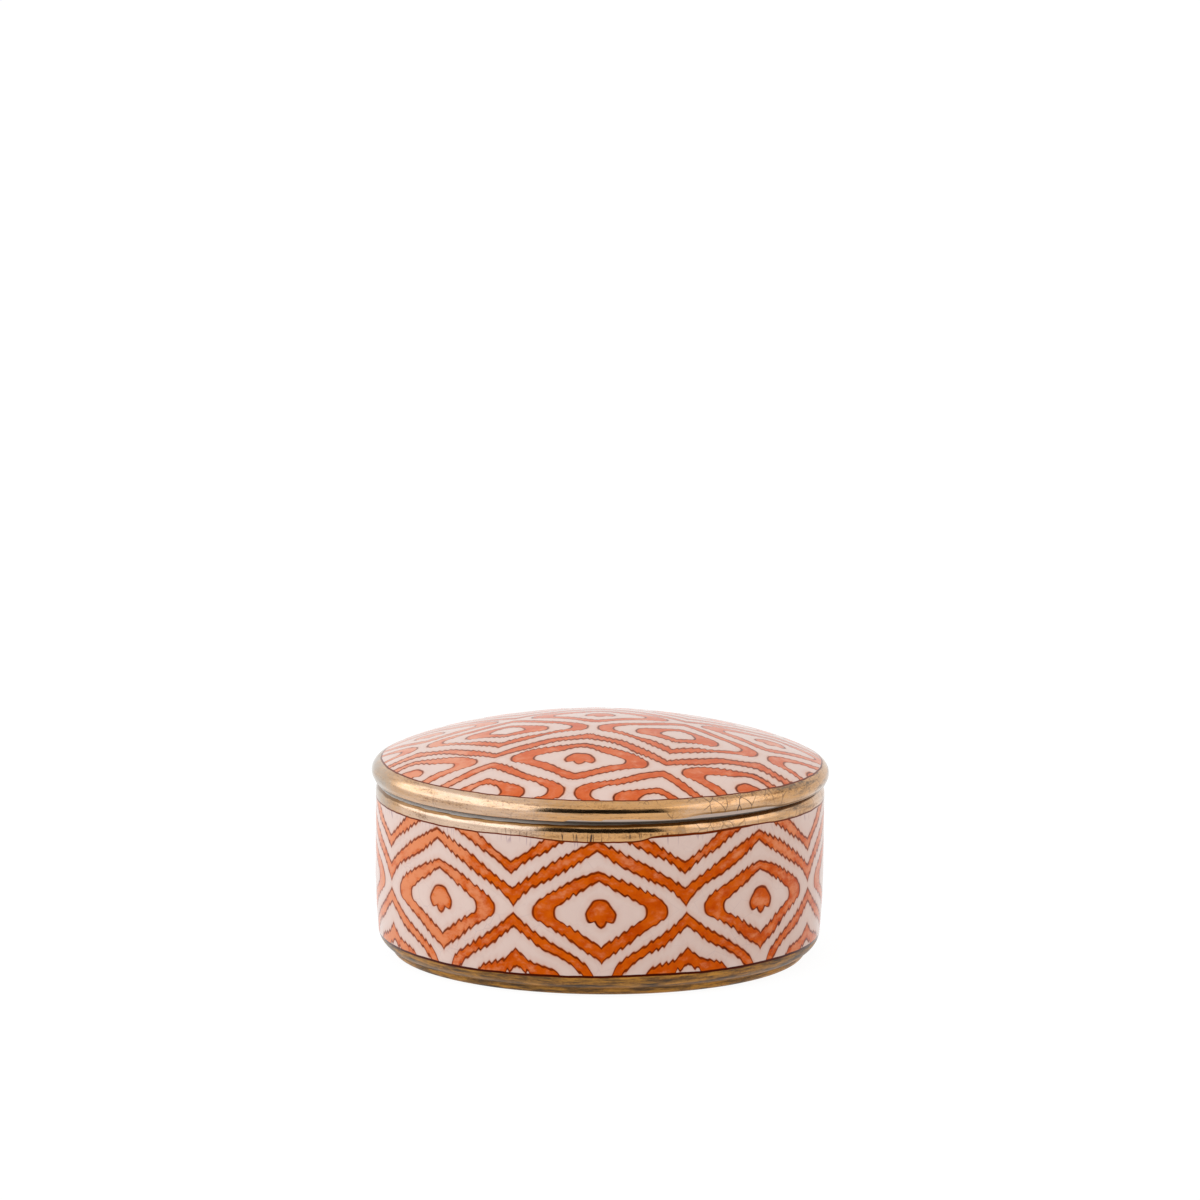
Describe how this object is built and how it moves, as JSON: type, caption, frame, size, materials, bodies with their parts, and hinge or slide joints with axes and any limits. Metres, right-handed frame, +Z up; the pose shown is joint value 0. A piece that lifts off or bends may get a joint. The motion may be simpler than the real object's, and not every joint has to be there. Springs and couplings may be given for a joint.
{
  "type": "trinket box",
  "caption": "Round glazed ceramic trinket box with a shallow domed lift-off lid, a fat gilded rim bead, a low gilded foot ring and a hand-painted lozenge pattern.",
  "frame": {"origin": "middle of the foot ring's underside, where the box's axis meets the surface it stands on", "axes": "+Z up along the box's axis, which is the way the lid lifts; +X and +Y are alike, and the picture looks along +Y with +X to the right"},
  "size_m": [0.15, 0.15, 0.0781],
  "materials": {
    "painted_glaze": "glossy crackled glaze over a hand-painted orange lozenge pattern, with fired gold lustre on the rims and the foot"
  },
  "bodies": {
    "base": {"bowl": "painted_glaze"},
    "lid": {"lid": "painted_glaze"}
  },
  "joints": [
    {"name": "lid_lift", "type": "slide", "parent": "base", "child": "lid", "axis": [0, 0, 1], "range_m": [0, 0.07]}
  ]
}
